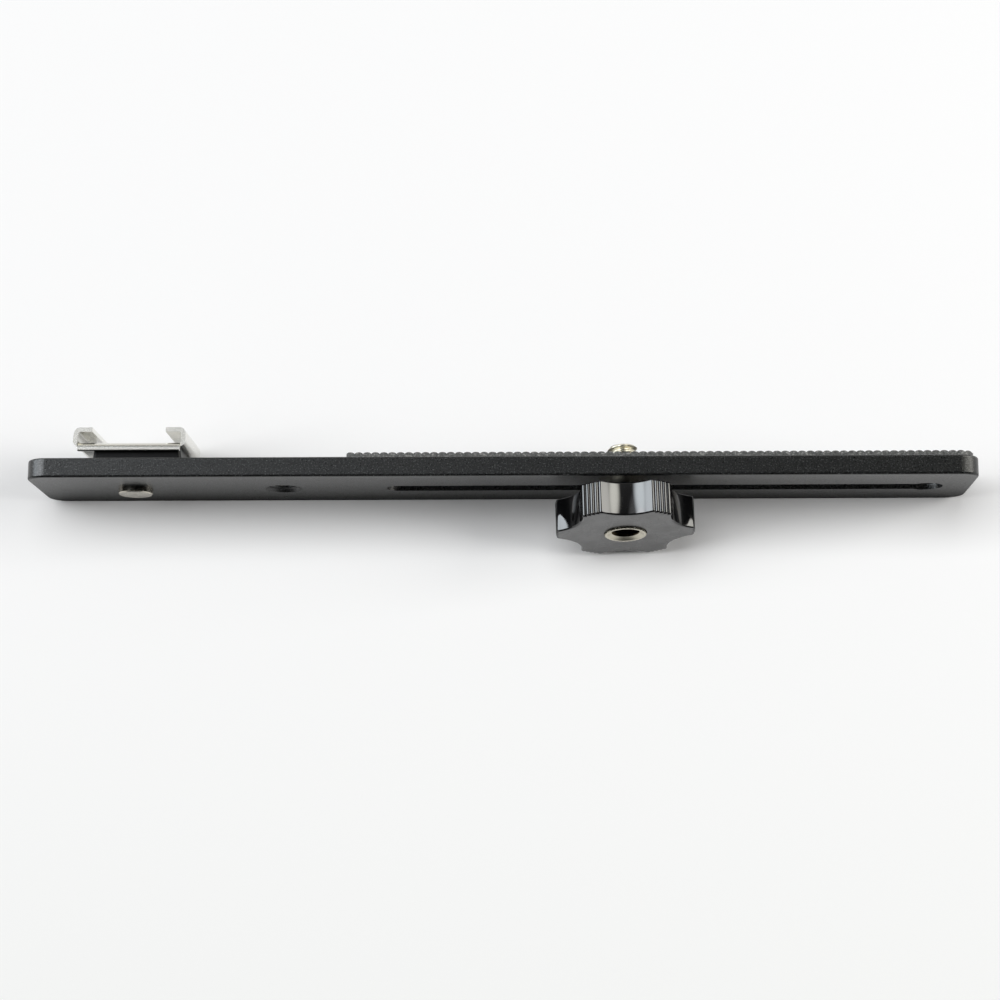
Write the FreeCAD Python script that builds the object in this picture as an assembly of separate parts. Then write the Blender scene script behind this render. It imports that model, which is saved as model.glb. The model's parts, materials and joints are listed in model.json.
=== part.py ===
import FreeCAD, Part
import math
import os

from FreeCAD import Placement, Rotation, Vector

# Cold shoe extension bar, standing on one long edge.
# X runs along the bar, Y through its thickness (+Y is the shoe and pad side), Z up its width.
# The origin is the middle of the edge that it stands on. All sizes are in millimetres.

# Bar plate
BAR_LENGTH = 190.0
BAR_WIDTH = 25.0
BAR_THICKNESS = 4.0
BAR_CORNER_R = 4.0
BAR_EDGE_R = 0.45
TAPPED_HOLE_FROM_END = 50.1
TAPPED_HOLE_D = 6.35
TAPPED_MOUTH_D = 7.5

# Slot along the bar, with its keyhole end
SLOT_WIDTH = 5.1
SLOT_FROM_END = 71.0
KEYHOLE_FROM_END = 9.3
KEYHOLE_D = 6.8

# Ribbed pad
PAD_THICKNESS = 1.1
PAD_FROM_END = 63.8
PAD_END_MARGIN = 0.9
PAD_SIDE_MARGIN = 1.2
PAD_CORNER_R = 3.2
PAD_START_CORNER_R = 0.5
PAD_SLOT_MARGIN = 2.2

# Cold shoe, pressed from one sheet, on a tapered spacer
SHOE_FROM_END = 19.9
SHOE_OUTER_WIDTH = 22.7
SHOE_LENGTH = 17.8
SHOE_SHEET = 0.9
SHOE_CHANNEL_HEIGHT = 2.15
SHOE_OPENING = 14.7
SHOE_BEND_R = 1.3
SHOE_WALL_LEAN = 0.45
SHOE_CUT_EDGE_R = 0.2
TONGUE_WIDTH = 20.4
TONGUE_REACH = 0.2
TONGUE_DROP = 1.75
TONGUE_BEND_R = 1.2
TONGUE_RELIEF = 0.15
SPACER_THICKNESS = 3.0
SPACER_OFFSET_X = 1.5
SPACER_FOOT_WIDTH = 18.0
SPACER_TOP_WIDTH = 17.2
SPACER_LENGTH = 15.6
SPACER_CORNER_R = 0.6

# Rivet through bar, spacer and shoe
RIVET_SHANK_D = 4.0
RIVET_HEAD_D = 6.9
RIVET_HEAD_HEIGHT = 1.1
RIVET_HEAD_EDGE = 0.2
RIVET_FLARE_D = 5.6
RIVET_CLEARANCE = 0.05

# Camera screw, which hangs loose and leans in the slot
SCREW_ALONG_SLOT = 48.15
SCREW_DROP = 0.18
SCREW_LEAN = 8.3
SCREW_SWING = 1.6
THREAD_D = 6.25
THREAD_LENGTH = 3.55
THREAD_END_CHAMFER = 0.3
NECK_D = 3.9
NECK_ABOVE = 2.9
NECK_BELOW = 3.4
SOCKET_D = 6.35
SOCKET_DEPTH = 6.6
SOCKET_MOUTH_D = 7.3
INSERT_D = 8.7
INSERT_PROUD = 0.35

# Washer on the neck
WASHER_D = 8.2
WASHER_THICKNESS = 0.4
WASHER_NECK_CLEARANCE = 0.2
WASHER_SEAT_GAP = 0.05

# Lobed knob moulded round the screw
KNOB_R = 14.05
KNOB_HEIGHT = 6.9
KNOB_SHOULDER_GAP = 1.6
KNOB_TURN = 0.9
KNOB_EDGE = 0.3
KNOB_LOBES = 6
KNOB_SCALLOP_DEPTH = 1.8
KNOB_SCALLOP_HALF_ANGLE = 20.0
KNOB_FLUTES_PER_LOBE = 5
KNOB_FLUTE_DEPTH = 0.3
KNOB_INSERT_CLEARANCE = 0.02

# Levels that follow from the sizes above
PLATE_TOP = BAR_THICKNESS / 2
PLATE_UNDER = -BAR_THICKNESS / 2
MID_Z = BAR_WIDTH / 2
HALF_LENGTH = BAR_LENGTH / 2
SHOE_X = -HALF_LENGTH + SHOE_FROM_END
TAPPED_HOLE_X = -HALF_LENGTH + TAPPED_HOLE_FROM_END
PAD_START_X = -HALF_LENGTH + PAD_FROM_END
SLOT_START_X = -HALF_LENGTH + SLOT_FROM_END
KEYHOLE_X = HALF_LENGTH - KEYHOLE_FROM_END
SCREW_X = SLOT_START_X + SCREW_ALONG_SLOT
PAD_END_X = HALF_LENGTH - PAD_END_MARGIN
SHOE_UNDER = PLATE_TOP + SPACER_THICKNESS
SHOE_FLOOR = SHOE_UNDER + SHOE_SHEET
SHOE_LIP_UNDER = SHOE_FLOOR + SHOE_CHANNEL_HEIGHT
SHOE_TOP = SHOE_LIP_UNDER + SHOE_SHEET
SHOE_BACK = MID_Z - SHOE_LENGTH / 2
SHOE_FRONT = MID_Z + SHOE_LENGTH / 2
KNOB_TOP = -NECK_BELOW - KNOB_SHOULDER_GAP
KNOB_BOTTOM = KNOB_TOP - KNOB_HEIGHT
INSERT_END = KNOB_BOTTOM - INSERT_PROUD
OVERCUT = 1.0

# The screw's own frame: +Z towards its threaded end, -Y towards the upper long edge of the bar
SCREW_PLACEMENT = Placement(
    Vector(SCREW_X, 0, MID_Z - SCREW_DROP),
    Rotation(Vector(0, 0, 1), SCREW_SWING) * Rotation(Vector(1, 0, 0), -90 - SCREW_LEAN),
)


def rounded_wire(points, radii):
    """Closed wire through the points, each corner rounded by its own radius (0 keeps it sharp)."""
    count = len(points)
    edges = []
    joints = []
    for i in range(count):
        corner = points[i]
        back = (points[i - 1] - corner).normalize()
        ahead = (points[(i + 1) % count] - corner).normalize()
        radius = radii[i]
        if radius == 0:
            joints.append((corner, corner))
            continue
        half = back.getAngle(ahead) / 2
        reach = radius / math.tan(half)
        bisector = (back + ahead).normalize()
        middle = corner + bisector * (radius / math.sin(half) - radius)
        start = corner + back * reach
        end = corner + ahead * reach
        joints.append((start, end))
        edges.append(Part.Arc(start, middle, end).toShape())
    for i in range(count):
        leave = joints[i][1]
        arrive = joints[(i + 1) % count][0]
        if leave.distanceToPoint(arrive) > 1e-7:
            edges.append(Part.LineSegment(leave, arrive).toShape())
    return Part.Wire(Part.__sortEdges__(edges))


def rounded_face(points, radii):
    return Part.Face(rounded_wire(points, radii))


def upright_plate(x_low, x_high, z_low, z_high, radii, y_low, y_high):
    """Plate parallel to the XZ plane; radii go round from the low corner along X first."""
    points = [
        Vector(x_low, y_low, z_low),
        Vector(x_high, y_low, z_low),
        Vector(x_high, y_low, z_high),
        Vector(x_low, y_low, z_high),
    ]
    return rounded_face(points, radii).extrude(Vector(0, y_high - y_low, 0))


def stadium(x_start, x_end, half_width, y_low, y_high):
    """Slot cutter between two end centres on the bar's middle line."""
    middle = Part.makeBox(
        x_end - x_start, y_high - y_low, 2 * half_width, Vector(x_start, y_low, MID_Z - half_width)
    )
    start = cross_cylinder(x_start, half_width, y_low, y_high)
    end = cross_cylinder(x_end, half_width, y_low, y_high)
    return middle.fuse([start, end]).removeSplitter()


def cross_cylinder(x, radius, y_low, y_high):
    """Cylinder along Y on the bar's middle line."""
    return Part.makeCylinder(radius, y_high - y_low, Vector(x, y_low, MID_Z), Vector(0, 1, 0))


def cross_cone(x, radius_low, radius_high, y_low, y_high):
    return Part.makeCone(
        radius_low, radius_high, y_high - y_low, Vector(x, y_low, MID_Z), Vector(0, 1, 0)
    )


def turned(profile):
    """Solid of revolution about Z from (radius, height) pairs."""
    points = [Vector(r, 0, z) for r, z in profile]
    wire = Part.makePolygon(points + [points[0]])
    return Part.Face(wire).revolve(Vector(0, 0, 0), Vector(0, 0, 1), 360)


def bar_plate():
    plate = upright_plate(
        -HALF_LENGTH, HALF_LENGTH, 0, BAR_WIDTH, [BAR_CORNER_R] * 4, PLATE_UNDER, PLATE_TOP
    )
    rim = [edge for edge in plate.Edges if edge.BoundBox.YLength < 1e-6]
    plate = plate.makeFillet(BAR_EDGE_R, rim)
    below = PLATE_UNDER - OVERCUT
    above = PLATE_TOP + OVERCUT
    slot = stadium(SLOT_START_X + SLOT_WIDTH / 2, KEYHOLE_X, SLOT_WIDTH / 2, below, above)
    keyhole = cross_cylinder(KEYHOLE_X, KEYHOLE_D / 2, below, above)
    tapped = cross_cylinder(TAPPED_HOLE_X, TAPPED_HOLE_D / 2, below, above)
    rivet_hole = cross_cylinder(SHOE_X, RIVET_SHANK_D / 2 + RIVET_CLEARANCE, below, above)
    mouth = (TAPPED_MOUTH_D - TAPPED_HOLE_D) / 2
    mouth_under = cross_cone(
        TAPPED_HOLE_X, TAPPED_MOUTH_D / 2, TAPPED_HOLE_D / 2, PLATE_UNDER, PLATE_UNDER + mouth
    )
    mouth_over = cross_cone(
        TAPPED_HOLE_X, TAPPED_HOLE_D / 2, TAPPED_MOUTH_D / 2, PLATE_TOP - mouth, PLATE_TOP
    )
    return plate.cut([slot, keyhole, tapped, rivet_hole, mouth_under, mouth_over])


def grip_pad():
    radii = [PAD_START_CORNER_R, PAD_CORNER_R, PAD_CORNER_R, PAD_START_CORNER_R]
    pad = upright_plate(
        PAD_START_X,
        PAD_END_X,
        PAD_SIDE_MARGIN,
        BAR_WIDTH - PAD_SIDE_MARGIN,
        radii,
        PLATE_TOP,
        PLATE_TOP + PAD_THICKNESS,
    )
    half_width = SLOT_WIDTH / 2 + PAD_SLOT_MARGIN
    slot = stadium(
        SLOT_START_X + SLOT_WIDTH / 2,
        KEYHOLE_X,
        half_width,
        PLATE_TOP - OVERCUT,
        PLATE_TOP + PAD_THICKNESS + OVERCUT,
    )
    return pad.cut(slot)


def shoe_spacer():
    """Tapered block under the shoe, wider at its foot, with the rivet hole through it."""

    def layer(width, y):
        low_x = SHOE_X + SPACER_OFFSET_X - width / 2
        low_z = MID_Z - SPACER_LENGTH / 2
        points = [
            Vector(low_x, y, low_z),
            Vector(low_x + width, y, low_z),
            Vector(low_x + width, y, low_z + SPACER_LENGTH),
            Vector(low_x, y, low_z + SPACER_LENGTH),
        ]
        return rounded_wire(points, [SPACER_CORNER_R] * 4)

    foot = layer(SPACER_FOOT_WIDTH, PLATE_TOP)
    top = layer(SPACER_TOP_WIDTH, SHOE_UNDER)
    block = Part.makeLoft([foot, top], True, True)
    hole = cross_cylinder(
        SHOE_X, RIVET_SHANK_D / 2 + RIVET_CLEARANCE, PLATE_TOP - OVERCUT, SHOE_UNDER + OVERCUT
    )
    return block.cut(hole)


def shoe_channel():
    """The shoe's floor, side walls and turned-in lips as one bent section."""
    left = SHOE_X - SHOE_OUTER_WIDTH / 2
    right = SHOE_X + SHOE_OUTER_WIDTH / 2
    outer = rounded_face(
        [
            Vector(left, SHOE_UNDER, SHOE_BACK),
            Vector(right, SHOE_UNDER, SHOE_BACK),
            Vector(right, SHOE_TOP, SHOE_BACK),
            Vector(left + SHOE_WALL_LEAN, SHOE_TOP, SHOE_BACK),
        ],
        [SHOE_BEND_R] * 4,
    )
    inner_r = SHOE_BEND_R - SHOE_SHEET
    inner = rounded_face(
        [
            Vector(left + SHOE_SHEET, SHOE_FLOOR, SHOE_BACK),
            Vector(right - SHOE_SHEET, SHOE_FLOOR, SHOE_BACK),
            Vector(right - SHOE_SHEET, SHOE_LIP_UNDER, SHOE_BACK),
            Vector(left + SHOE_SHEET + SHOE_WALL_LEAN, SHOE_LIP_UNDER, SHOE_BACK),
        ],
        [inner_r] * 4,
    )
    run = Vector(0, 0, SHOE_LENGTH)
    gap = Part.makeBox(
        SHOE_OPENING,
        SHOE_SHEET + SHOE_CHANNEL_HEIGHT,
        SHOE_LENGTH,
        Vector(SHOE_X - SHOE_OPENING / 2, SHOE_LIP_UNDER - SHOE_CHANNEL_HEIGHT / 2, SHOE_BACK),
    )
    return outer.extrude(run).cut([inner.extrude(run), gap])


def tongue_notch(z_end, direction):
    """Cutter that parts the floor from the walls where the end of the floor is rolled down."""
    depth = TONGUE_BEND_R - TONGUE_REACH
    width = TONGUE_WIDTH + 2 * TONGUE_RELIEF
    low_z = z_end - depth if direction > 0 else z_end - OVERCUT
    return Part.makeBox(
        width,
        2 * SHOE_SHEET,
        depth + OVERCUT,
        Vector(SHOE_X - width / 2, SHOE_FLOOR - 1.5 * SHOE_SHEET, low_z),
    )


def shoe_tongue(z_end, direction):
    """End of the shoe's floor, rolled down over the spacer; direction is +1 or -1 along Z."""
    tip = z_end + direction * TONGUE_REACH
    root = tip - direction * (TONGUE_BEND_R + SHOE_SHEET)
    inside = tip - direction * SHOE_SHEET
    low = SHOE_FLOOR - TONGUE_DROP
    x = SHOE_X - TONGUE_WIDTH / 2
    section = rounded_face(
        [
            Vector(x, SHOE_FLOOR, root),
            Vector(x, SHOE_FLOOR, tip),
            Vector(x, low, tip),
            Vector(x, low, inside),
            Vector(x, SHOE_UNDER, inside),
            Vector(x, SHOE_UNDER, root),
        ],
        [0, TONGUE_BEND_R, SHOE_CUT_EDGE_R, SHOE_CUT_EDGE_R, TONGUE_BEND_R - SHOE_SHEET, 0],
    )
    return section.extrude(Vector(TONGUE_WIDTH, 0, 0))


def cold_shoe():
    channel = shoe_channel().cut([tongue_notch(SHOE_FRONT, 1), tongue_notch(SHOE_BACK, -1)])
    shoe = channel.fuse([shoe_tongue(SHOE_FRONT, 1), shoe_tongue(SHOE_BACK, -1)])
    hole = cross_cylinder(
        SHOE_X, RIVET_SHANK_D / 2 + RIVET_CLEARANCE, SHOE_UNDER - OVERCUT, SHOE_FLOOR + OVERCUT
    )
    flare = cross_cone(
        SHOE_X,
        RIVET_SHANK_D / 2 + RIVET_CLEARANCE,
        RIVET_FLARE_D / 2 + RIVET_CLEARANCE,
        SHOE_UNDER,
        SHOE_FLOOR,
    )
    return shoe.cut([hole, flare]).removeSplitter()


def shoe_rivet():
    """Flat head under the bar, shank, and an end flared flush with the shoe's floor."""
    head_r = RIVET_HEAD_D / 2
    shank_r = RIVET_SHANK_D / 2
    under = PLATE_UNDER - RIVET_HEAD_HEIGHT
    body = turned(
        [
            (0, under),
            (head_r - RIVET_HEAD_EDGE, under),
            (head_r, under + RIVET_HEAD_EDGE),
            (head_r, PLATE_UNDER),
            (shank_r, PLATE_UNDER),
            (shank_r, SHOE_UNDER),
            (RIVET_FLARE_D / 2, SHOE_FLOOR),
            (0, SHOE_FLOOR),
        ]
    )
    body.Placement = Placement(Vector(SHOE_X, 0, MID_Z), Rotation(Vector(1, 0, 0), -90))
    return body


def camera_screw():
    """Threaded end, neck, shoulder and tapped socket of the captive screw, as one turned piece."""
    thread_top = NECK_ABOVE + THREAD_LENGTH
    socket_top = INSERT_END + SOCKET_DEPTH
    mouth = (SOCKET_MOUTH_D - SOCKET_D) / 2
    screw = turned(
        [
            (0, socket_top + SOCKET_D / 6),
            (SOCKET_D / 2, socket_top),
            (SOCKET_D / 2, INSERT_END + mouth),
            (SOCKET_MOUTH_D / 2, INSERT_END),
            (INSERT_D / 2, INSERT_END),
            (INSERT_D / 2, -NECK_BELOW),
            (NECK_D / 2, -NECK_BELOW),
            (NECK_D / 2, NECK_ABOVE),
            (THREAD_D / 2, NECK_ABOVE),
            (THREAD_D / 2, thread_top - THREAD_END_CHAMFER),
            (THREAD_D / 2 - THREAD_END_CHAMFER, thread_top),
            (0, thread_top),
        ]
    )
    screw.Placement = SCREW_PLACEMENT
    return screw


def screw_washer():
    seat = -NECK_BELOW + WASHER_SEAT_GAP
    bore_r = NECK_D / 2 + WASHER_NECK_CLEARANCE
    washer = turned(
        [
            (bore_r, seat),
            (WASHER_D / 2, seat),
            (WASHER_D / 2, seat + WASHER_THICKNESS),
            (bore_r, seat + WASHER_THICKNESS),
        ]
    )
    washer.Placement = SCREW_PLACEMENT
    return washer


def on_circle(radius, degrees):
    angle = math.radians(degrees)
    return Vector(radius * math.cos(angle), radius * math.sin(angle), KNOB_BOTTOM)


def knob_outline():
    """Scallops and fluted lobes round the knob; the first scallop faces the bar's upper edge."""
    step = 360 / KNOB_LOBES
    lobe_angle = step - 2 * KNOB_SCALLOP_HALF_ANGLE
    flute_angle = lobe_angle / KNOB_FLUTES_PER_LOBE
    corner_r = KNOB_R - KNOB_FLUTE_DEPTH
    scallop_r = KNOB_R * math.cos(math.radians(KNOB_SCALLOP_HALF_ANGLE)) - KNOB_SCALLOP_DEPTH
    arcs = []
    for lobe in range(KNOB_LOBES):
        scallop = -90 + KNOB_TURN + lobe * step
        lobe_start = scallop + KNOB_SCALLOP_HALF_ANGLE
        arcs.append(
            Part.Arc(
                on_circle(corner_r, scallop - KNOB_SCALLOP_HALF_ANGLE),
                on_circle(scallop_r, scallop),
                on_circle(corner_r, lobe_start),
            )
        )
        for flute in range(KNOB_FLUTES_PER_LOBE):
            start = lobe_start + flute * flute_angle
            arcs.append(
                Part.Arc(
                    on_circle(corner_r, start),
                    on_circle(KNOB_R, start + flute_angle / 2),
                    on_circle(corner_r, start + flute_angle),
                )
            )
    return Part.Wire([arc.toShape() for arc in arcs])


def clamp_knob():
    prism = Part.Face(knob_outline()).extrude(Vector(0, 0, KNOB_HEIGHT))
    rim = KNOB_R + KNOB_EDGE
    envelope = turned(
        [
            (0, KNOB_BOTTOM),
            (rim - 2 * KNOB_EDGE, KNOB_BOTTOM),
            (rim, KNOB_BOTTOM + 2 * KNOB_EDGE),
            (rim, KNOB_TOP - 2 * KNOB_EDGE),
            (rim - 2 * KNOB_EDGE, KNOB_TOP),
            (0, KNOB_TOP),
        ]
    )
    bore = Part.makeCylinder(
        INSERT_D / 2 + KNOB_INSERT_CLEARANCE,
        KNOB_HEIGHT + 2 * OVERCUT,
        Vector(0, 0, KNOB_BOTTOM - OVERCUT),
    )
    knob = prism.common(envelope).cut(bore)
    knob.Placement = SCREW_PLACEMENT
    return knob


PARTS = {
    "bar_plate": bar_plate,
    "grip_pad": grip_pad,
    "shoe_spacer": shoe_spacer,
    "cold_shoe": cold_shoe,
    "shoe_rivet": shoe_rivet,
    "screw_washer": screw_washer,
    "camera_screw": camera_screw,
    "clamp_knob": clamp_knob,
}

os.makedirs("parts", exist_ok=True)
for name, make in PARTS.items():
    shape = make()
    if shape.ShapeType == "Compound" and len(shape.Solids) == 1:
        shape = shape.Solids[0]
    box = shape.BoundBox
    print(
        f"{name}: {shape.ShapeType}, {len(shape.Solids)} solid, valid {shape.isValid()}, "
        f"volume {shape.Volume:.1f} mm3, X {box.XMin:.2f} {box.XMax:.2f}, "
        f"Y {box.YMin:.2f} {box.YMax:.2f}, Z {box.ZMin:.2f} {box.ZMax:.2f}"
    )
    shape.exportStep(f"parts/{name}.step")
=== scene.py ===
import json
import math

import bmesh
import bpy
from mathutils import Matrix, Vector


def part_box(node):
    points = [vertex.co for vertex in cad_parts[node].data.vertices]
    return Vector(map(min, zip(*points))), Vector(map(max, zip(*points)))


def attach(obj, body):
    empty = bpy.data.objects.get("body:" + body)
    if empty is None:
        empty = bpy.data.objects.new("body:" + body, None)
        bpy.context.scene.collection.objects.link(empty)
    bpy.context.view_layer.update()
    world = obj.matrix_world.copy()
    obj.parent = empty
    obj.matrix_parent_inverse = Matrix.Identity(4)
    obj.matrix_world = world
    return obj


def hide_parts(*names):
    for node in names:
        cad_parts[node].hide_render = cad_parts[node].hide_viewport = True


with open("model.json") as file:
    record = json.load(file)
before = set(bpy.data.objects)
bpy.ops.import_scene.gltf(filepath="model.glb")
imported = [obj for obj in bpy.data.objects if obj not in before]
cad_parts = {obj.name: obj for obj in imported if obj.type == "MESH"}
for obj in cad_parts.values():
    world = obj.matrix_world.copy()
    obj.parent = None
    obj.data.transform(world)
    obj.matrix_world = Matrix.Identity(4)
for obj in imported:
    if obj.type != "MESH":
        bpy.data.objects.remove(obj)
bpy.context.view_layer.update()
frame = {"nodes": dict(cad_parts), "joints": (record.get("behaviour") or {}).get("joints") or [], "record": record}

MM = 0.001
TAU = 2 * math.pi

# Camera, fitted to the photograph's frame of 1000 pixels
IMAGE_PIXELS = 1000
SENSOR_MM = 36.0
FOCAL_PIXELS = 2266.6
CENTRE_SHIFT_PIXELS = -83.5
CAMERA_ELEVATION = math.radians(78.99)
CAMERA_ROLL = math.radians(-0.225)
CAMERA_DISTANCE = 460.9 * MM
CAMERA_TARGET = Vector((16.0, -4.56, 12.5)) * MM
CLIP_NEAR = 10 * MM
CLIP_FAR = 50

# Places taken from the frame
PLATE_LOW, PLATE_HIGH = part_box("bar_plate")
PAD_LOW, PAD_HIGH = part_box("grip_pad")
MOUNTS = {mount["name"]: mount for mount in frame["record"]["mounts"]}
JOINTS = {joint["name"]: joint for joint in frame["joints"]}
MID_Z = (PLATE_LOW.z + PLATE_HIGH.z) / 2
SCREW_CENTRE = Vector(JOINTS["knob_turn"]["pos_m"])
SCREW_UP = Vector(JOINTS["knob_turn"]["axis"]).normalized()

# Threads
THREAD_PITCH = 1.27 * MM
THREAD_DEPTH = 0.62 * MM
THREAD_FLAT = 0.14
RINGS_PER_OUTER_TURN = 14
RINGS_PER_INNER_TURN = 10
POINTS_AROUND = 96

# Screw, in metres along its own axis from the middle of the bar
THREAD_R = MOUNTS["camera_screw_thread"]["dims"]["r_mm"] * MM
THREAD_START = 2.9 * MM
THREAD_END = 6.45 * MM
THREAD_CHAMFER = 0.3 * MM
THREAD_BACK_CHAMFER = 0.18 * MM
THREAD_TIP_INSET = 0.25 * MM
NECK_R = 1.95 * MM
SHOULDER = -3.4 * MM
SHOULDER_CHAMFER = 0.15 * MM
INSERT_R = 4.35 * MM
INSERT_END = -12.25 * MM
KNURL_TEETH = 32
KNURL_DEPTH = 0.3 * MM
KNURL_LENGTH = 1.1 * MM
KNURL_RUNOUT = 0.1 * MM
KNURL_EDGE_HEIGHT = 0.08 * MM
KNURL_EDGE_INSET = 0.06 * MM
RING_FACE_INSET = 0.1 * MM
SOCKET_R = MOUNTS["knob_socket"]["dims"]["r_mm"] * MM
SOCKET_DEPTH = 6.6 * MM
SOCKET_MOUTH_R = 3.65 * MM
SOCKET_MOUTH_EDGE = 0.03 * MM
SOCKET_MOUTH_DEPTH = 0.6 * MM
SOCKET_BORE_R = 2.83 * MM
DRILL_TIP_R = 1.2 * MM
DRILL_TIP_DEPTH = 0.8 * MM

# Tapped hole in the bar
TAPPED_DEPTH_SHARE = 0.85
TAPPED_BACK = 0.005 * MM

# Knob, in metres along the screw's axis
KNOB_TOP = -5.0 * MM
KNOB_BOTTOM = -11.9 * MM
KNOB_R = 14.05 * MM
KNOB_BORE_R = 4.37 * MM
KNOB_LOBES = 6
KNOB_TURN = math.radians(0.9)
SCALLOP_HALF_ANGLE = math.radians(20)
SCALLOP_DEPTH = 1.8 * MM
SCALLOP_STEPS = 36
FLUTES_PER_LOBE = 5
FLUTE_DEPTH = 0.3 * MM
FLUTE_STEPS = 16
KNOB_ROUNDING = 0.36 * MM
ROUNDING_STEPS = 5
END_FACE_SHARES = (0.0, 0.35, 0.7, 0.93)

# Pad
RIB_PITCH = 1.665 * MM
RIB_HEIGHT = 0.34 * MM
RIB_SAMPLES = 8
RIB_ROUNDNESS = 0.55
PAD_SHOE_END_CORNER_R = 0.5 * MM
PAD_CORNER_R = 3.2 * MM
PAD_SLOT_HALF = 4.75 * MM
PAD_SLOT_CORNER_R = 0.999 * PAD_SLOT_HALF
SLOT_START_X = -21.45 * MM
KEYHOLE_X = 85.7 * MM
TRIM_OVERCUT = 1 * MM

# Finishes: noise in features per metre, colours at places along the noise, relief in metres
NOISE_SPAN = (0.3, 0.7)
COAT_GRAIN = 2600
COAT_SPECK = 3600
COAT_COLOURS = (
    (0.0, (0.002, 0.0021, 0.0021)),
    (0.57, (0.0035, 0.0038, 0.0038)),
    (0.76, (0.075, 0.078, 0.078)),
)
COAT_ROUGHNESS = (0.33, 0.26)
COAT_RELIEF = 0.03 * MM
RUBBER_GRAIN = 2200
RUBBER_SMEAR = 160
# Rubber colours; the palest stop paints small glints
RUBBER_COLOURS_AND_PAINTED_GLINTS = (
    (0.3, (0.03, 0.031, 0.03)),
    (0.55, (0.085, 0.086, 0.084)),
    (0.72, (0.26, 0.26, 0.25)),
)
RUBBER_ROUGHNESS = (0.42, 0.62)
RUBBER_RELIEF = 0.1 * MM
SPACER_GRAIN = 2200
SPACER_RELIEF = 0.06 * MM
KNOB_SMEAR = 260
KNOB_SMEAR_SPAN = (0.35, 0.7)
KNOB_GRAIN = 1400
KNOB_RELIEF = 0.05 * MM
PLATING_CLOUD = 420
PLATING_CLOUD_SPAN = (0.35, 0.65)
PLATING_GRAIN = 1200
PLATING_RELIEF = 0.01 * MM

# Floor, in metres along Y where its painted shade darkens it towards -Y; its strip at the bar's foot has painted
# shade that only reflections show
FLOOR_HALF = 6.0
FLOOR_ROUGHNESS = 0.8
FLOOR_WHITE = (0.9, 0.9, 0.9)
# Painted shade: towards -Y the floor's colour darkens to this
PAINTED_FLOOR_FRONT_SHADE = (0.885, 0.89, 0.88)
PAINTED_FLOOR_SHADE_SPAN = (-0.11, 0.0)
# Painted shade: glossy rays see the floor darker near the bar's foot, by these shares along the span
PAINTED_FOOT_SHADE_SPAN = (-12 * MM, 3 * MM)
PAINTED_FOOT_SHADES = ((0.0, 1.0), (0.4, 0.86), (0.53, 0.55), (0.67, 0.12), (0.93, 0.12), (0.95, 1.0))

# Lamps: name, azimuth, elevation, turn, half width, half height, radiance, colour
LAMP_DISTANCE = 1.3
LAMPS = (
    ("left_box", 161.5, 60.6, -57, 0.81, 0.235, 4.62, (0.98, 0.99, 1.0)),
    ("right_box", 4, 29, 70, 0.34, 0.23, 7.5, (1.0, 0.99, 0.97)),
)

# Surround: the light on the part, then what gloss shows, as walls that darken with the ray's
# height and bright patches by azimuth, elevation, inner angle, outer angle and colour
ROOM_LIGHT = (0.065, 0.065, 0.065)
REFLECTED_WALLS = (
    (0.0, (0.92, 0.91, 0.87)),
    (0.2, (0.8, 0.79, 0.75)),
    (0.45, (0.52, 0.51, 0.49)),
    (0.68, (0.3, 0.3, 0.29)),
    (0.87, (0.14, 0.14, 0.14)),
    (0.98, (0.05, 0.05, 0.05)),
)
REFLECTED_PANELS = (
    (141.5, 43.5, 2, 22, (8.3, 8.9, 9.3)),
    (160, 24, 4, 23, (7.2, 7.7, 8.1)),
    (38.5, 41.5, 0, 20, (8.6, 8.5, 7.8)),
    (20, 22, 4, 23, (6.6, 6.5, 6.1)),
    (168, 52, 10, 20, (9.0, 9.3, 9.6)),
    (172, 62, 21, 34, (0.85, 0.86, 0.88)),
)
DARK_SIDE_SPAN = (-0.1, 0.3)
DARK_SIDE_SHARE = 0.02


def screw_matrix():
    """Local +Z along the screw towards its threaded end, local -Y towards the bar's upper edge."""
    y = Vector((0, 0, -1))
    y = (y - SCREW_UP * y.dot(SCREW_UP)).normalized()
    x = y.cross(SCREW_UP)
    return Matrix.Translation(SCREW_CENTRE) @ Matrix((x, y, SCREW_UP)).transposed().to_4x4()


def add_mesh(name, vertices, faces, smooth=True):
    """New mesh object in the scene."""
    mesh = bpy.data.meshes.new(name)
    mesh.from_pydata([tuple(v) for v in vertices], [], faces)
    mesh.validate()
    obj = bpy.data.objects.new(name, mesh)
    bpy.context.scene.collection.objects.link(obj)
    mesh.polygons.foreach_set("use_smooth", [smooth] * len(mesh.polygons))
    return obj


def finish_normals(obj, crease):
    """Outward faces, and sharp edges where the surface turns by more than the crease, in degrees."""
    bm = bmesh.new()
    bm.from_mesh(obj.data)
    bmesh.ops.remove_doubles(bm, verts=bm.verts, dist=1e-7)
    bmesh.ops.recalc_face_normals(bm, faces=bm.faces)
    for edge in bm.edges:
        if len(edge.link_faces) == 2:
            edge.smooth = edge.calc_face_angle(0) < math.radians(crease)
    bm.to_mesh(obj.data)
    bm.free()


def apply_modifiers(obj):
    """Gives the object the mesh that its modifiers make."""
    bpy.context.view_layer.update()
    graph = bpy.context.evaluated_depsgraph_get()
    mesh = bpy.data.meshes.new_from_object(obj.evaluated_get(graph))
    obj.modifiers.clear()
    obj.data = mesh


def material(name, base, roughness, metallic=0.0, ior=1.5, specular=0.5):
    """New material with plain values, which the noise of each finish then varies."""
    mat = bpy.data.materials.new(name)
    mat.use_nodes = True
    tree = mat.node_tree
    shader = tree.nodes["Principled BSDF"]
    shader.inputs["Base Color"].default_value = (*base, 1)
    shader.inputs["Roughness"].default_value = roughness
    shader.inputs["Metallic"].default_value = metallic
    shader.inputs["IOR"].default_value = ior
    shader.inputs["Specular IOR Level"].default_value = specular
    return mat, tree, shader


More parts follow.
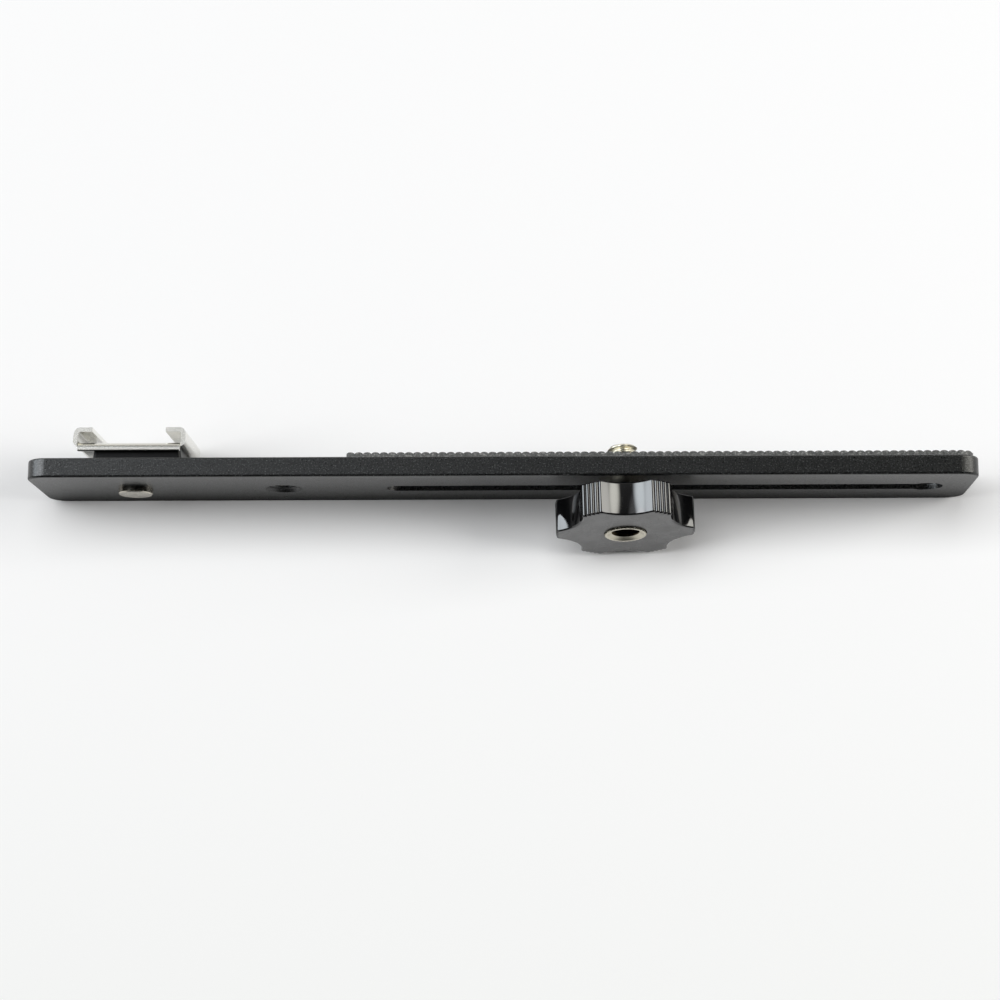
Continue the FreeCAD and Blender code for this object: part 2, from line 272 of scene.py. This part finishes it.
def object_noise(tree, scale, detail):
    """Noise in the object's own space; scale is features per metre."""
    coords = tree.nodes.new("ShaderNodeTexCoord")
    noise = tree.nodes.new("ShaderNodeTexNoise")
    noise.inputs["Scale"].default_value = scale
    noise.inputs["Detail"].default_value = detail
    tree.links.new(coords.outputs["Object"], noise.inputs["Vector"])
    return noise.outputs["Fac"]


def ramp(tree, source, stops):
    """Colours at places from 0 to 1 along the source."""
    node = tree.nodes.new("ShaderNodeValToRGB")
    elements = node.color_ramp.elements
    while len(elements) < len(stops):
        elements.new(0.5)
    for element, (place, colour) in zip(elements, stops):
        element.position = place
        element.color = (*colour, 1)
    tree.links.new(source, node.inputs["Fac"])
    return node.outputs["Color"]


def map_range(tree, source, span, result, curve="LINEAR"):
    """The source's span, spread over the two results."""
    node = tree.nodes.new("ShaderNodeMapRange")
    node.interpolation_type = curve
    node.inputs["From Min"].default_value, node.inputs["From Max"].default_value = span
    node.inputs["To Min"].default_value, node.inputs["To Max"].default_value = result
    tree.links.new(source, node.inputs["Value"])
    return node.outputs["Result"]


def bump(tree, shader, height, strength, distance):
    """Fine relief on the shader from a height."""
    node = tree.nodes.new("ShaderNodeBump")
    node.inputs["Strength"].default_value = strength
    node.inputs["Distance"].default_value = distance
    tree.links.new(height, node.inputs["Height"])
    tree.links.new(node.outputs["Normal"], shader.inputs["Normal"])


def powder_coat():
    """Black powder coat: fine pebbled grain with a few paler specks."""
    mat, tree, shader = material("powder_coat", (0.004, 0.0043, 0.0043), 0.34)
    grain = object_noise(tree, COAT_GRAIN, 3.0)
    speck = object_noise(tree, COAT_SPECK, 1.0)
    tree.links.new(ramp(tree, speck, COAT_COLOURS), shader.inputs["Base Color"])
    tree.links.new(map_range(tree, grain, NOISE_SPAN, COAT_ROUGHNESS), shader.inputs["Roughness"])
    bump(tree, shader, grain, 1.0, COAT_RELIEF)
    return mat


def grip_rubber():
    """Dusty black rubber, mottled, with small painted glints in its colour."""
    mat, tree, shader = material("grip_rubber", (0.06, 0.061, 0.06), 0.5)
    grain = object_noise(tree, RUBBER_GRAIN, 3.0)
    smear = object_noise(tree, RUBBER_SMEAR, 2.0)
    # Painted glints: the grain's palest places light the rubber's colour
    tree.links.new(ramp(tree, grain, RUBBER_COLOURS_AND_PAINTED_GLINTS), shader.inputs["Base Color"])
    tree.links.new(map_range(tree, smear, NOISE_SPAN, RUBBER_ROUGHNESS), shader.inputs["Roughness"])
    bump(tree, shader, grain, 0.5, RUBBER_RELIEF)
    return mat


def spacer_plastic():
    """Matte black plastic with a faint grain."""
    mat, tree, shader = material("spacer_plastic", (0.002, 0.002, 0.0021), 0.35, specular=0.15)
    grain = object_noise(tree, SPACER_GRAIN, 2.0)
    bump(tree, shader, grain, 0.2, SPACER_RELIEF)
    return mat


def knob_plastic(name, roughness, grain_strength):
    """Black moulded plastic, smeared a little between the two roughnesses."""
    mat, tree, shader = material(name, (0.003, 0.003, 0.0033), roughness[0], ior=1.62)
    smear = object_noise(tree, KNOB_SMEAR, 3.0)
    tree.links.new(map_range(tree, smear, KNOB_SMEAR_SPAN, roughness), shader.inputs["Roughness"])
    grain = object_noise(tree, KNOB_GRAIN, 3.0)
    bump(tree, shader, grain, grain_strength, KNOB_RELIEF)
    return mat


def plated(name, base, roughness, wear=0.85):
    """Nickel plate over a turned or pressed surface, clouded down to its wear share."""
    mat, tree, shader = material(name, base, roughness[0], metallic=1.0)
    cloud = object_noise(tree, PLATING_CLOUD, 4.0)
    worn = tuple(c * wear for c in base)
    colours = tuple(zip(PLATING_CLOUD_SPAN, (worn, base)))
    tree.links.new(ramp(tree, cloud, colours), shader.inputs["Base Color"])
    tree.links.new(map_range(tree, cloud, NOISE_SPAN, roughness), shader.inputs["Roughness"])
    grain = object_noise(tree, PLATING_GRAIN, 2.0)
    bump(tree, shader, grain, 0.03, PLATING_RELIEF)
    return mat


def dress(node, mat):
    """Gives a carried-over node its material."""
    for slot in frame["nodes"][node].material_slots:
        slot.material = mat


def grid_of_revolution(radius_at, stations):
    """Rows of points round Z: radius_at(station, angle) gives each radius."""
    rows = []
    for z in stations:
        row = []
        for i in range(POINTS_AROUND):
            angle = TAU * i / POINTS_AROUND
            r = radius_at(z, angle)
            row.append(Vector((r * math.cos(angle), r * math.sin(angle), z)))
        rows.append(row)
    return rows


def skin_rows(rows, close_ends=False):
    """Quads between neighbouring rings, with a fan over each end where asked."""
    around = len(rows[0])
    vertices = [point for row in rows for point in row]
    faces = []
    for j in range(len(rows) - 1):
        for i in range(around):
            k = (i + 1) % around
            faces.append((j * around + i, j * around + k, (j + 1) * around + k, (j + 1) * around + i))
    if close_ends:
        for index in (0, len(rows) - 1):
            vertices.append(sum(rows[index], Vector()) / around)
            tip = len(vertices) - 1
            for i in range(around):
                faces.append((index * around + i, index * around + (i + 1) % around, tip))
    return vertices, faces


def thread_profile(z, angle):
    """Height share of a 60 degree thread, 0 at the root and 1 on the crest, with both flattened."""
    turns = z / THREAD_PITCH - angle / TAU
    saw = abs(turns % 1.0 - 0.5) * 2
    return min(1.0, max(0.0, (saw - THREAD_FLAT) / (1 - 2 * THREAD_FLAT)))


def outer_thread(z, angle):
    """Radius of the screw's threaded end, chamfered at its tip and at its root."""
    ridge = THREAD_R - THREAD_DEPTH * (1 - thread_profile(z, angle))
    tip = THREAD_R - THREAD_CHAMFER + (THREAD_END - z)
    root = THREAD_R - THREAD_BACK_CHAMFER + (z - THREAD_START)
    return min(ridge, tip, root)


def inner_thread(z, angle, wall, depth):
    """Radius of a tapped wall whose ridges stand inwards by the depth."""
    return wall - depth * thread_profile(z, angle)


def spaced(start, end, step):
    """Even stations from start to end, about a step apart."""
    count = max(2, int(round(abs(end - start) / step)) + 1)
    return [start + (end - start) * i / (count - 1) for i in range(count)]


def camera_screw():
    """Whole screw as one skin: threaded end, neck, shoulder, knurled insert and tapped socket."""
    rows = []

    def ring(radius, z):
        rows.extend(grid_of_revolution(lambda station, angle: radius, [z]))

    def knurled(radius, z):
        def toothed(station, angle):
            return radius - KNURL_DEPTH * abs((angle * KNURL_TEETH / TAU) % 1.0 - 0.5) * 2

        rows.extend(grid_of_revolution(toothed, [z]))

    ring(THREAD_R - THREAD_CHAMFER - THREAD_TIP_INSET, THREAD_END)
    thread_stations = spaced(THREAD_END, THREAD_START, THREAD_PITCH / RINGS_PER_OUTER_TURN)
    rows.extend(grid_of_revolution(outer_thread, thread_stations))
    ring(NECK_R, THREAD_START)
    ring(NECK_R, SHOULDER)
    ring(INSERT_R - SHOULDER_CHAMFER, SHOULDER)
    ring(INSERT_R, SHOULDER - SHOULDER_CHAMFER)
    ring(INSERT_R, INSERT_END + KNURL_LENGTH + KNURL_RUNOUT)
    knurled(INSERT_R, INSERT_END + KNURL_LENGTH)
    knurled(INSERT_R, INSERT_END + KNURL_EDGE_HEIGHT)
    knurled(INSERT_R - KNURL_EDGE_INSET, INSERT_END)
    ring(INSERT_R - KNURL_DEPTH - RING_FACE_INSET, INSERT_END)
    ring(SOCKET_MOUTH_R + SOCKET_MOUTH_EDGE, INSERT_END)
    ring(SOCKET_MOUTH_R, INSERT_END + SOCKET_MOUTH_EDGE)
    socket_start = INSERT_END + SOCKET_MOUTH_DEPTH
    socket_end = INSERT_END + SOCKET_DEPTH
    ring(SOCKET_BORE_R, socket_start)
    socket_row = len(rows) - 1
    socket_stations = spaced(socket_start, socket_end, THREAD_PITCH / RINGS_PER_INNER_TURN)
    ridge = SOCKET_R - SOCKET_BORE_R
    rows.extend(grid_of_revolution(lambda z, a: inner_thread(z, a, SOCKET_R, ridge), socket_stations))
    ring(DRILL_TIP_R, socket_end + DRILL_TIP_DEPTH)
    obj = add_mesh("camera_screw_threaded", *skin_rows(rows, close_ends=True))
    # The socket's rows take the second material: dark brass with painted shade
    for index, polygon in enumerate(obj.data.polygons):
        polygon.material_index = 1 if index // POINTS_AROUND >= socket_row else 0
    obj.data.transform(screw_matrix())
    finish_normals(obj, crease=30)
    return obj


def knob_radius(angle):
    """Radius of the knob's outline: a scallop, then a lobe of rounded flutes, six times."""
    step = TAU / KNOB_LOBES
    place = (angle + TAU / 4 - KNOB_TURN + SCALLOP_HALF_ANGLE) % step
    corner_r = KNOB_R - FLUTE_DEPTH
    if place <= 2 * SCALLOP_HALF_ANGLE:
        chord = corner_r * math.cos(SCALLOP_HALF_ANGLE)
        half = corner_r * math.sin(SCALLOP_HALF_ANGLE)
        deep = KNOB_R * math.cos(SCALLOP_HALF_ANGLE) - SCALLOP_DEPTH
        sag = chord - deep
        arc_r = (half * half + sag * sag) / (2 * sag)
        centre = deep + arc_r
        off = place - SCALLOP_HALF_ANGLE
        return centre * math.cos(off) - math.sqrt(arc_r**2 - (centre * math.sin(off)) ** 2)
    flute = (step - 2 * SCALLOP_HALF_ANGLE) / FLUTES_PER_LOBE
    share = ((place - 2 * SCALLOP_HALF_ANGLE) % flute) / flute
    return corner_r + FLUTE_DEPTH * (1 - (2 * share - 1) ** 2)


def knob_angles():
    """Angles round the outline, closer together on the flutes than in the scallops."""
    step = TAU / KNOB_LOBES
    start = -TAU / 4 + KNOB_TURN - SCALLOP_HALF_ANGLE
    lobe = step - 2 * SCALLOP_HALF_ANGLE
    lobe_steps = FLUTE_STEPS * FLUTES_PER_LOBE
    angles = []
    for k in range(KNOB_LOBES):
        begin = start + k * step
        angles += [begin + 2 * SCALLOP_HALF_ANGLE * i / SCALLOP_STEPS for i in range(SCALLOP_STEPS)]
        begin += 2 * SCALLOP_HALF_ANGLE
        angles += [begin + lobe * i / lobe_steps for i in range(lobe_steps)]
    return angles


def rounded_knob():
    """The knob with its edges rounded all along the outline; ends satin, sides polished."""
    angles = knob_angles()
    outline = [knob_radius(angle) for angle in angles]
    rows = []
    end_rows = set()

    def ring(inset, z, share=1.0):
        row = []
        for angle, radius in zip(angles, outline):
            r = KNOB_BORE_R + (radius - inset - KNOB_BORE_R) * share
            row.append(Vector((r * math.cos(angle), r * math.sin(angle), z)))
        rows.append(row)

    def end_face(z, shares):
        for share in shares:
            ring(KNOB_ROUNDING, z, share)
        first = len(rows) - len(shares)
        end_rows.update(range(first, len(rows) - 1))

    turns = [TAU / 4 * i / ROUNDING_STEPS for i in range(ROUNDING_STEPS + 1)]
    end_face(KNOB_BOTTOM, END_FACE_SHARES + (1.0,))
    for turn in turns[1:]:
        ring(KNOB_ROUNDING * (1 - math.sin(turn)), KNOB_BOTTOM + KNOB_ROUNDING * (1 - math.cos(turn)))
    for turn in turns:
        ring(KNOB_ROUNDING * (1 - math.cos(turn)), KNOB_TOP - KNOB_ROUNDING * (1 - math.sin(turn)))
    end_face(KNOB_TOP, END_FACE_SHARES[::-1])
    obj = add_mesh("clamp_knob_rounded", *skin_rows(rows + [rows[0]]))
    for index, polygon in enumerate(obj.data.polygons):
        polygon.material_index = 1 if index // len(angles) in end_rows else 0
    obj.data.transform(screw_matrix())
    finish_normals(obj, crease=40)
    return obj


def tapped_hole_thread():
    """Thread ridges inside the bar's tapped hole, as one ring."""
    mount = MOUNTS["tapped_hole"]
    wall = mount["dims"]["r_mm"] * MM
    half = mount["dims"]["length_mm"] * MM / 2
    depth = THREAD_DEPTH * TAPPED_DEPTH_SHARE
    stations = spaced(-half, half, THREAD_PITCH / RINGS_PER_INNER_TURN)
    ridges = grid_of_revolution(lambda z, a: inner_thread(z, a, wall, depth), stations)
    back = grid_of_revolution(lambda z, a: wall - TAPPED_BACK, [half, -half])
    obj = add_mesh("tapped_hole_thread", *skin_rows(ridges + back + [ridges[0]]))
    across = Matrix.Rotation(math.radians(-90), 4, "X")
    obj.data.transform(Matrix.Translation(Vector(mount["pos_m"])) @ across)
    finish_normals(obj, crease=30)
    return obj


def rib_height(x):
    """Rounded rib tops with narrow valleys, as a share of the rib height."""
    place = ((x - PAD_LOW.x) / RIB_PITCH) % 1.0
    return abs(math.sin(math.pi * place)) ** RIB_ROUNDNESS


def rounded_block(name, x_span, z_span, radii, y_span, arc_steps=12):
    """Block along Y with rounded corners, from the low corner along X first."""
    corners = [
        (x_span[0] + radii[0], z_span[0] + radii[0], 180, radii[0]),
        (x_span[1] - radii[1], z_span[0] + radii[1], 270, radii[1]),
        (x_span[1] - radii[2], z_span[1] - radii[2], 0, radii[2]),
        (x_span[0] + radii[3], z_span[1] - radii[3], 90, radii[3]),
    ]
    loop = []
    for x, z, start, radius in corners:
        for i in range(arc_steps + 1):
            angle = math.radians(start + 90 * i / arc_steps)
            loop.append((x + radius * math.cos(angle), z + radius * math.sin(angle)))
    n = len(loop)
    vertices = [(x, y, z) for y in y_span for x, z in loop]
    faces = [(i, (i + 1) % n, n + (i + 1) % n, n + i) for i in range(n)]
    faces.append(tuple(reversed(range(n))))
    faces.append(tuple(range(n, 2 * n)))
    block = add_mesh(name, vertices, faces, smooth=False)
    finish_normals(block, crease=35)
    return block


def ribbed_strip():
    """Long strip over the pad's box, with ribs across its top."""
    count = int((PAD_HIGH.x - PAD_LOW.x) / RIB_PITCH * RIB_SAMPLES)
    step = (PAD_HIGH.x - PAD_LOW.x) / count
    places = [PAD_LOW.x + i * step for i in range(count + 1)]
    vertices = []
    for z in (PAD_LOW.z, PAD_HIGH.z):
        for x in places:
            vertices.append((x, PAD_HIGH.y - RIB_HEIGHT * (1 - rib_height(x)), z))
        for x in places:
            vertices.append((x, PAD_LOW.y, z))
    n = len(places)
    side = 2 * n
    faces = []
    for i in range(n - 1):
        faces.append((i, i + 1, side + i + 1, side + i))
        faces.append((n + i + 1, n + i, side + n + i, side + n + i + 1))
        faces.append((i + 1, i, n + i, n + i + 1))
        faces.append((side + i, side + i + 1, side + n + i + 1, side + n + i))
    faces.append((0, side, side + n, n))
    faces.append((n - 1, 2 * n - 1, side + 2 * n - 1, side + n - 1))
    return add_mesh("ribbed_pad", vertices, faces)


def ribbed_pad():
    """The ribbed strip, trimmed to the pad's outline and its slot."""
    pad = ribbed_strip()
    through = (PAD_LOW.y - TRIM_OVERCUT, PAD_HIGH.y + TRIM_OVERCUT)
    outline = rounded_block(
        "pad_outline",
        (PAD_LOW.x, PAD_HIGH.x),
        (PAD_LOW.z, PAD_HIGH.z),
        [PAD_SHOE_END_CORNER_R, PAD_CORNER_R, PAD_CORNER_R, PAD_SHOE_END_CORNER_R],
        through,
    )
    slot = rounded_block(
        "pad_slot",
        (SLOT_START_X - PAD_SLOT_HALF, KEYHOLE_X + PAD_SLOT_HALF),
        (MID_Z - PAD_SLOT_HALF, MID_Z + PAD_SLOT_HALF),
        [PAD_SLOT_CORNER_R] * 4,
        through,
    )
    for tool, operation in ((outline, "INTERSECT"), (slot, "DIFFERENCE")):
        cut = pad.modifiers.new(tool.name, "BOOLEAN")
        cut.operation = operation
        cut.solver = "EXACT"
        cut.object = tool
    apply_modifiers(pad)
    for tool in (outline, slot):
        bpy.data.objects.remove(tool)
    finish_normals(pad, crease=50)
    return pad


def floor():
    """Pale floor with painted shade, a little darker towards -Y; gloss shows its strip at the bar's foot darker
    still, painted shade for the bar's shadow.
    """
    corners = [(-1, -1), (1, -1), (1, 1), (-1, 1)]
    obj = add_mesh("floor", [(FLOOR_HALF * x, FLOOR_HALF * y, 0) for x, y in corners], [(0, 1, 2, 3)])
    mat, tree, shader = material("floor_white_and_painted_shade", FLOOR_WHITE, FLOOR_ROUGHNESS, specular=0.0)
    coords = tree.nodes.new("ShaderNodeTexCoord")
    split = tree.nodes.new("ShaderNodeSeparateXYZ")
    tree.links.new(coords.outputs["Object"], split.inputs["Vector"])
    # Painted shade: the floor's colour darkens towards -Y
    painted_front_shade_share = map_range(tree, split.outputs["Y"], PAINTED_FLOOR_SHADE_SPAN, (0.0, 1.0))
    floor_tone_with_painted_shade = ramp(tree, painted_front_shade_share, ((0.0, PAINTED_FLOOR_FRONT_SHADE), (1.0, FLOOR_WHITE)))
    # Painted shade: glossy rays see the floor's strip at the bar's foot darker
    strip = map_range(tree, split.outputs["Y"], PAINTED_FOOT_SHADE_SPAN, (0.0, 1.0))
    foot = ramp(tree, strip, [(place, (shade, shade, shade)) for place, shade in PAINTED_FOOT_SHADES])
    path = tree.nodes.new("ShaderNodeLightPath")
    shaded = tree.nodes.new("ShaderNodeMix")
    shaded.data_type = "RGBA"
    shaded.blend_type = "MULTIPLY"
    tree.links.new(path.outputs["Is Glossy Ray"], shaded.inputs["Factor"])
    tree.links.new(floor_tone_with_painted_shade, shaded.inputs["A"])
    tree.links.new(foot, shaded.inputs["B"])
    tree.links.new(shaded.outputs["Result"], shader.inputs["Base Color"])
    obj.data.materials.append(mat)


def sky_direction(azimuth, elevation):
    """Azimuth from +X towards +Y, elevation above the table, both in degrees."""
    a = math.radians(azimuth)
    e = math.radians(elevation)
    return Vector((math.cos(e) * math.cos(a), math.cos(e) * math.sin(a), math.sin(e)))


def area_lamp(name, azimuth, elevation, turn, half_width, half_height, radiance, colour):
    """Soft box that gloss doesn't show; its half sizes are tangents of angles seen from the part."""
    towards = sky_direction(azimuth, elevation)
    level = Vector((-towards.y, towards.x, 0)).normalized()
    steep = towards.cross(level)
    t = math.radians(turn)
    side = level * math.cos(t) + steep * math.sin(t)
    width = 2 * half_width * LAMP_DISTANCE
    height = 2 * half_height * LAMP_DISTANCE
    data = bpy.data.lights.new(name, "AREA")
    data.shape = "RECTANGLE"
    data.size = width
    data.size_y = height
    data.energy = radiance * math.pi * width * height
    data.color = colour
    obj = bpy.data.objects.new(name, data)
    bpy.context.scene.collection.objects.link(obj)
    axes = Matrix((side, towards.cross(side), towards)).transposed().to_4x4()
    obj.matrix_world = Matrix.Translation(towards * LAMP_DISTANCE) @ axes
    obj.visible_glossy = False


def glow(tree, ray, azimuth, elevation, inner, outer, colour):
    """Round bright patch of the surround, soft between the two angles in degrees."""
    dot = tree.nodes.new("ShaderNodeVectorMath")
    dot.operation = "DOT_PRODUCT"
    tree.links.new(ray, dot.inputs[0])
    dot.inputs[1].default_value = sky_direction(azimuth, elevation)
    edge = (math.cos(math.radians(outer)), math.cos(math.radians(inner)))
    share = map_range(tree, dot.outputs["Value"], edge, (0.0, 1.0), "SMOOTHSTEP")
    tint = tree.nodes.new("ShaderNodeVectorMath")
    tint.operation = "SCALE"
    tint.inputs[0].default_value = colour
    tree.links.new(share, tint.inputs["Scale"])
    return tint.outputs["Vector"]


def reflected_surround(tree):
    """Pale walls with bright patches, dark on the side that the camera looks from."""
    coords = tree.nodes.new("ShaderNodeTexCoord")
    ray = coords.outputs["Generated"]
    split = tree.nodes.new("ShaderNodeSeparateXYZ")
    tree.links.new(ray, split.inputs["Vector"])
    total = ramp(tree, split.outputs["Z"], REFLECTED_WALLS)
    for patch in REFLECTED_PANELS:
        brighter = tree.nodes.new("ShaderNodeVectorMath")
        brighter.operation = "MAXIMUM"
        tree.links.new(total, brighter.inputs[0])
        tree.links.new(glow(tree, ray, *patch), brighter.inputs[1])
        total = brighter.outputs["Vector"]
    share = map_range(tree, split.outputs["Y"], DARK_SIDE_SPAN, (DARK_SIDE_SHARE, 1.0), "SMOOTHSTEP")
    shaded = tree.nodes.new("ShaderNodeVectorMath")
    shaded.operation = "SCALE"
    tree.links.new(total, shaded.inputs[0])
    tree.links.new(share, shaded.inputs["Scale"])
    return shaded.outputs["Vector"]


def gloss_seen_directly(tree):
    """1 for a glossy ray that no matte surface has scattered first, and 0 for any other ray."""
    path = tree.nodes.new("ShaderNodeLightPath")
    direct = tree.nodes.new("ShaderNodeMath")
    direct.operation = "LESS_THAN"
    tree.links.new(path.outputs["Diffuse Depth"], direct.inputs[0])
    direct.inputs[1].default_value = 0.5
    seen = tree.nodes.new("ShaderNodeMath")
    seen.operation = "MULTIPLY"
    tree.links.new(path.outputs["Is Glossy Ray"], seen.inputs[0])
    tree.links.new(direct.outputs["Value"], seen.inputs[1])
    return seen.outputs["Value"]


def world_light():
    """Dim even light from the room; gloss shows the reflected surround in its place."""
    world = bpy.data.worlds.new("surround")
    bpy.context.scene.world = world
    world.use_nodes = True
    tree = world.node_tree
    background = tree.nodes["Background"]
    mix = tree.nodes.new("ShaderNodeMix")
    mix.data_type = "RGBA"
    tree.links.new(gloss_seen_directly(tree), mix.inputs["Factor"])
    mix.inputs["A"].default_value = (*ROOM_LIGHT, 1)
    tree.links.new(reflected_surround(tree), mix.inputs["B"])
    tree.links.new(mix.outputs["Result"], background.inputs["Color"])
    background.inputs["Strength"].default_value = 1.0
    world.cycles.sampling_method = "NONE"


def camera():
    """Camera at the photograph's viewing angle."""
    data = bpy.data.cameras.new("photo_camera")
    data.sensor_width = SENSOR_MM
    data.lens = SENSOR_MM * FOCAL_PIXELS / IMAGE_PIXELS
    data.shift_x = CENTRE_SHIFT_PIXELS / IMAGE_PIXELS
    data.clip_start = CLIP_NEAR
    data.clip_end = CLIP_FAR
    obj = bpy.data.objects.new("photo_camera", data)
    bpy.context.scene.collection.objects.link(obj)
    back = Vector((0, -math.cos(CAMERA_ELEVATION), math.sin(CAMERA_ELEVATION)))
    right = Vector((1, 0, 0))
    up = back.cross(right)
    turned_right = right * math.cos(CAMERA_ROLL) + up * math.sin(CAMERA_ROLL)
    turned_up = up * math.cos(CAMERA_ROLL) - right * math.sin(CAMERA_ROLL)
    axes = Matrix((turned_right, turned_up, back)).transposed().to_4x4()
    obj.matrix_world = Matrix.Translation(CAMERA_TARGET + back * CAMERA_DISTANCE) @ axes
    bpy.context.scene.camera = obj


# Finish of each node and piece
COAT = powder_coat()
RUBBER = grip_rubber()
SPACER = spacer_plastic()
KNOB = knob_plastic("knob_sides", (0.05, 0.12), 0.02)
KNOB_END = knob_plastic("knob_ends", (0.24, 0.34), 0.25)
SHOE_METAL = plated("shoe_nickel", (0.80, 0.79, 0.74), (0.15, 0.17), wear=0.95)
RIVET_METAL = plated("rivet_nickel", (0.56, 0.53, 0.46), (0.2, 0.34))
SCREW_METAL = plated("screw_nickel", (0.56, 0.53, 0.44), (0.34, 0.42), wear=0.93)
# Unplated, oxidised brass inside the socket, with painted shade of the deep hole in its dark colour
SOCKET_BRASS_AND_PAINTED_SHADE = plated("socket_brass_and_painted_shade", (0.10, 0.075, 0.045), (0.4, 0.55))
WASHER_METAL = plated("washer_steel", (0.3, 0.3, 0.3), (0.4, 0.5))

dress("bar_plate", COAT)
dress("shoe_spacer", SPACER)
dress("cold_shoe", SHOE_METAL)
dress("shoe_rivet", RIVET_METAL)
dress("screw_washer", WASHER_METAL)
dress("clamp_knob", KNOB)
dress("camera_screw", SCREW_METAL)
dress("grip_pad", RUBBER)

screw = camera_screw()
screw.data.materials.append(SCREW_METAL)
screw.data.materials.append(SOCKET_BRASS_AND_PAINTED_SHADE)
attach(screw, "knob")
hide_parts("camera_screw")

knob = rounded_knob()
knob.data.materials.append(KNOB)
knob.data.materials.append(KNOB_END)
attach(knob, "knob")
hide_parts("clamp_knob")

pad = ribbed_pad()
pad.data.materials.clear()
pad.data.materials.append(RUBBER)
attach(pad, "bar")
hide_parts("grip_pad")

hole_thread = tapped_hole_thread()
hole_thread.data.materials.append(COAT)
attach(hole_thread, "bar")

floor()
world_light()
for lamp in LAMPS:
    area_lamp(*lamp)
camera()

bpy.context.scene.view_settings.view_transform = "Standard"
